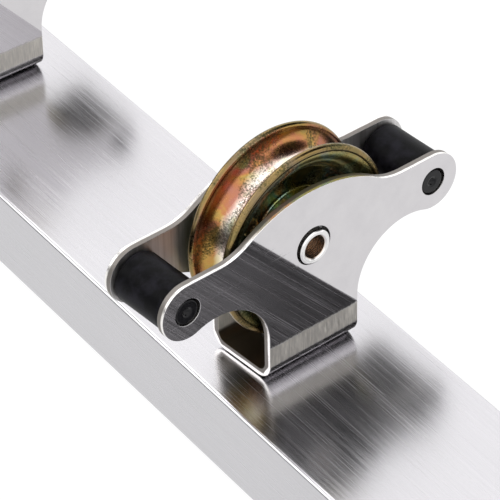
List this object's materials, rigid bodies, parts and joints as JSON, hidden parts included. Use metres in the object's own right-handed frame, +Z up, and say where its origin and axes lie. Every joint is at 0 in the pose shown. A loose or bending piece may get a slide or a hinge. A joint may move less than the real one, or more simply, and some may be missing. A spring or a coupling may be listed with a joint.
{
  "type": "sliding door roller beam",
  "caption": "Rectangular steel box beam carrying swivelling U-shaped brackets with winged ears, each holding a grooved rail wheel on a hollow axle between rubber side rollers.",
  "frame": {"origin": "middle of the beam's underside, half way between the two carriages", "axes": "+X along the beam towards the right carriage, +Y across the beam towards the back rollers, +Z up from the beam to the wheels"},
  "size_m": [0.32, 0.092, 0.0813],
  "materials": {
    "beam_stainless": "stainless steel brushed lengthwise",
    "plug_plastic": "moulded black, fine grain",
    "clinch_nut_zinc": "clear zinc plated",
    "screw_zinc": "plain zinc plated, turned marks",
    "washer_nylon": "natural nylon, punched",
    "bracket_stainless": "stainless steel, nearly mirror bright, with fine scratches",
    "axle_stainless": "drawn and faced tube, bright",
    "spacer_zinc": "turned, clear zinc plated",
    "bearing_steel": "ground",
    "ball_steel": "polished",
    "cage_brass": "machined, lightly tarnished",
    "shield_steel": "pressed sheet, bright",
    "wheel_yellow_zinc": "yellow zinc passivated, iridescent",
    "rivet_yellow_zinc": "yellow zinc passivated",
    "pin_black": "moulded black nylon",
    "roller_rubber": "black rubber, ground finish"
  },
  "bodies": {
    "beam": {"beam_tube": "beam_stainless", "left_end_plug": "plug_plastic", "right_end_plug": "plug_plastic", "left_clinch_nut": "clinch_nut_zinc", "left_pivot_screw": "screw_zinc", "left_thrust_washer": "washer_nylon", "right_clinch_nut": "clinch_nut_zinc", "right_pivot_screw": "screw_zinc", "right_thrust_washer": "washer_nylon"},
    "left_carriage": {"left_bracket": "bracket_stainless", "left_axle_tube": "axle_stainless", "left_hub_spacers": "spacer_zinc", "left_bearing_inner_ring": "bearing_steel"},
    "left_wheel": {"left_wheel_outer_half": "wheel_yellow_zinc", "left_wheel_inner_half": "wheel_yellow_zinc", "left_wheel_rivets": "rivet_yellow_zinc", "left_bearing_outer_ring": "bearing_steel", "left_bearing_shields": "shield_steel"},
    "left_ball_set": {"left_ball_cage": "cage_brass", "left_bearing_balls": "ball_steel"},
    "left_front_roller": {"left_front_roller_pin": "pin_black", "left_front_roller_sleeve": "roller_rubber"},
    "left_back_roller": {"left_back_roller_pin": "pin_black", "left_back_roller_sleeve": "roller_rubber"},
    "right_carriage": {"right_bracket": "bracket_stainless", "right_axle_tube": "axle_stainless", "right_hub_spacers": "spacer_zinc", "right_bearing_inner_ring": "bearing_steel"},
    "right_wheel": {"right_wheel_outer_half": "wheel_yellow_zinc", "right_wheel_inner_half": "wheel_yellow_zinc", "right_wheel_rivets": "rivet_yellow_zinc", "right_bearing_outer_ring": "bearing_steel", "right_bearing_shields": "shield_steel"},
    "right_ball_set": {"right_ball_cage": "cage_brass", "right_bearing_balls": "ball_steel"},
    "right_front_roller": {"right_front_roller_pin": "pin_black", "right_front_roller_sleeve": "roller_rubber"},
    "right_back_roller": {"right_back_roller_pin": "pin_black", "right_back_roller_sleeve": "roller_rubber"}
  },
  "joints": [
    {"name": "left_carriage_swivel", "type": "hinge", "parent": "beam", "child": "left_carriage", "pos_m": [-0.07075, 0, 0.0233], "axis": [0, 0, 1], "continuous": true},
    {"name": "left_wheel_spin", "type": "hinge", "parent": "left_carriage", "child": "left_wheel", "pos_m": [-0.07076, 0.00024, 0.0566], "axis": [0.9986, 0.0523, 0], "continuous": true},
    {"name": "left_ball_orbit", "type": "hinge", "parent": "left_carriage", "child": "left_ball_set", "pos_m": [-0.07076, 0.00024, 0.0566], "axis": [0.9986, 0.0523, 0], "continuous": true},
    {"name": "left_front_roller_spin", "type": "hinge", "parent": "left_carriage", "child": "left_front_roller", "pos_m": [-0.06877, -0.0377, 0.05683], "axis": [0.9986, 0.0523, 0], "continuous": true},
    {"name": "left_back_roller_spin", "type": "hinge", "parent": "left_carriage", "child": "left_back_roller", "pos_m": [-0.07273, 0.0377, 0.05683], "axis": [0.9986, 0.0523, 0], "continuous": true},
    {"name": "right_carriage_swivel", "type": "hinge", "parent": "beam", "child": "right_carriage", "pos_m": [0.07075, 0, 0.0233], "axis": [0, 0, 1], "continuous": true},
    {"name": "right_wheel_spin", "type": "hinge", "parent": "right_carriage", "child": "right_wheel", "pos_m": [0.07073, 0.00024, 0.0566], "axis": [0.9954, 0.0958, 0], "continuous": true},
    {"name": "right_ball_orbit", "type": "hinge", "parent": "right_carriage", "child": "right_ball_set", "pos_m": [0.07073, 0.00024, 0.0566], "axis": [0.9954, 0.0958, 0], "continuous": true},
    {"name": "right_front_roller_spin", "type": "hinge", "parent": "right_carriage", "child": "right_front_roller", "pos_m": [0.07437, -0.03758, 0.05683], "axis": [0.9954, 0.0958, 0], "continuous": true},
    {"name": "right_back_roller_spin", "type": "hinge", "parent": "right_carriage", "child": "right_back_roller", "pos_m": [0.06713, 0.03758, 0.05683], "axis": [0.9954, 0.0958, 0], "continuous": true}
  ],
  "couplings": [
    {"joint": "left_ball_orbit", "follows": "left_wheel_spin", "ratio": 0.6207},
    {"joint": "right_ball_orbit", "follows": "right_wheel_spin", "ratio": 0.6207}
  ]
}
